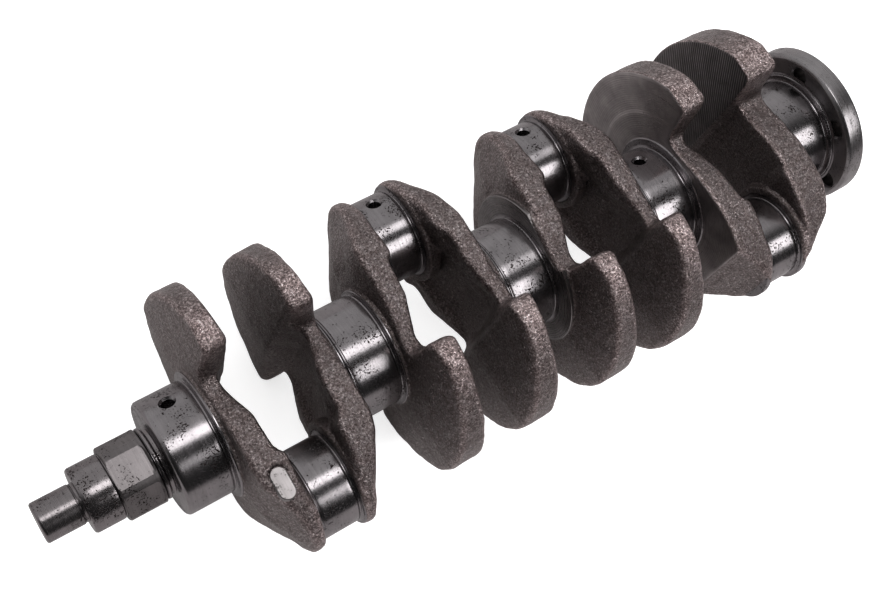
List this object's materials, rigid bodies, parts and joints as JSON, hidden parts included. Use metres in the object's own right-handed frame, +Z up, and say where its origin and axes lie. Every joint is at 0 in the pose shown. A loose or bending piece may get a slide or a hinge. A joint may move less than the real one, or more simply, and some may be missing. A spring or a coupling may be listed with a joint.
{
  "type": "crankshaft",
  "caption": "Crankshaft of an in-line four: ground main journals and crankpins between raw counterweighted webs, a stepped nose with a six-flat pump drive, and a drilled flywheel flange.",
  "frame": {"origin": "on the surface the shaft lies on, under the centre of its bounding box", "axes": "+X along the main axis from the nose to the flywheel flange, +Y in the plane of the throws towards the second and third crankpins, +Z up with the throw plane level"},
  "size_m": [0.4388, 0.1372, 0.116],
  "materials": {
    "ground_journal": "ground and polished, with dark pitting",
    "turned_steel": "turned, satin",
    "forged_web": "raw, unmachined, coarse grain, forged or cast"
  },
  "bodies": {
    "root": {"nose_pilot": "turned_steel", "pulley_seat": "turned_steel", "oil_pump_drive": "turned_steel", "front_neck": "turned_steel", "main_journal_1": "ground_journal", "main_journal_2": "ground_journal", "main_journal_3": "ground_journal", "main_journal_4": "ground_journal", "main_journal_5": "ground_journal", "crankpin_1": "ground_journal", "crankpin_2": "ground_journal", "crankpin_3": "ground_journal", "crankpin_4": "ground_journal", "crank_web_1": "forged_web", "crank_web_2": "forged_web", "crank_web_3": "forged_web", "crank_web_4": "forged_web", "crank_web_5": "forged_web", "crank_web_6": "forged_web", "crank_web_7": "forged_web", "crank_web_8": "forged_web", "rear_collar": "turned_steel", "flywheel_flange": "turned_steel"}
  },
  "joints": []
}
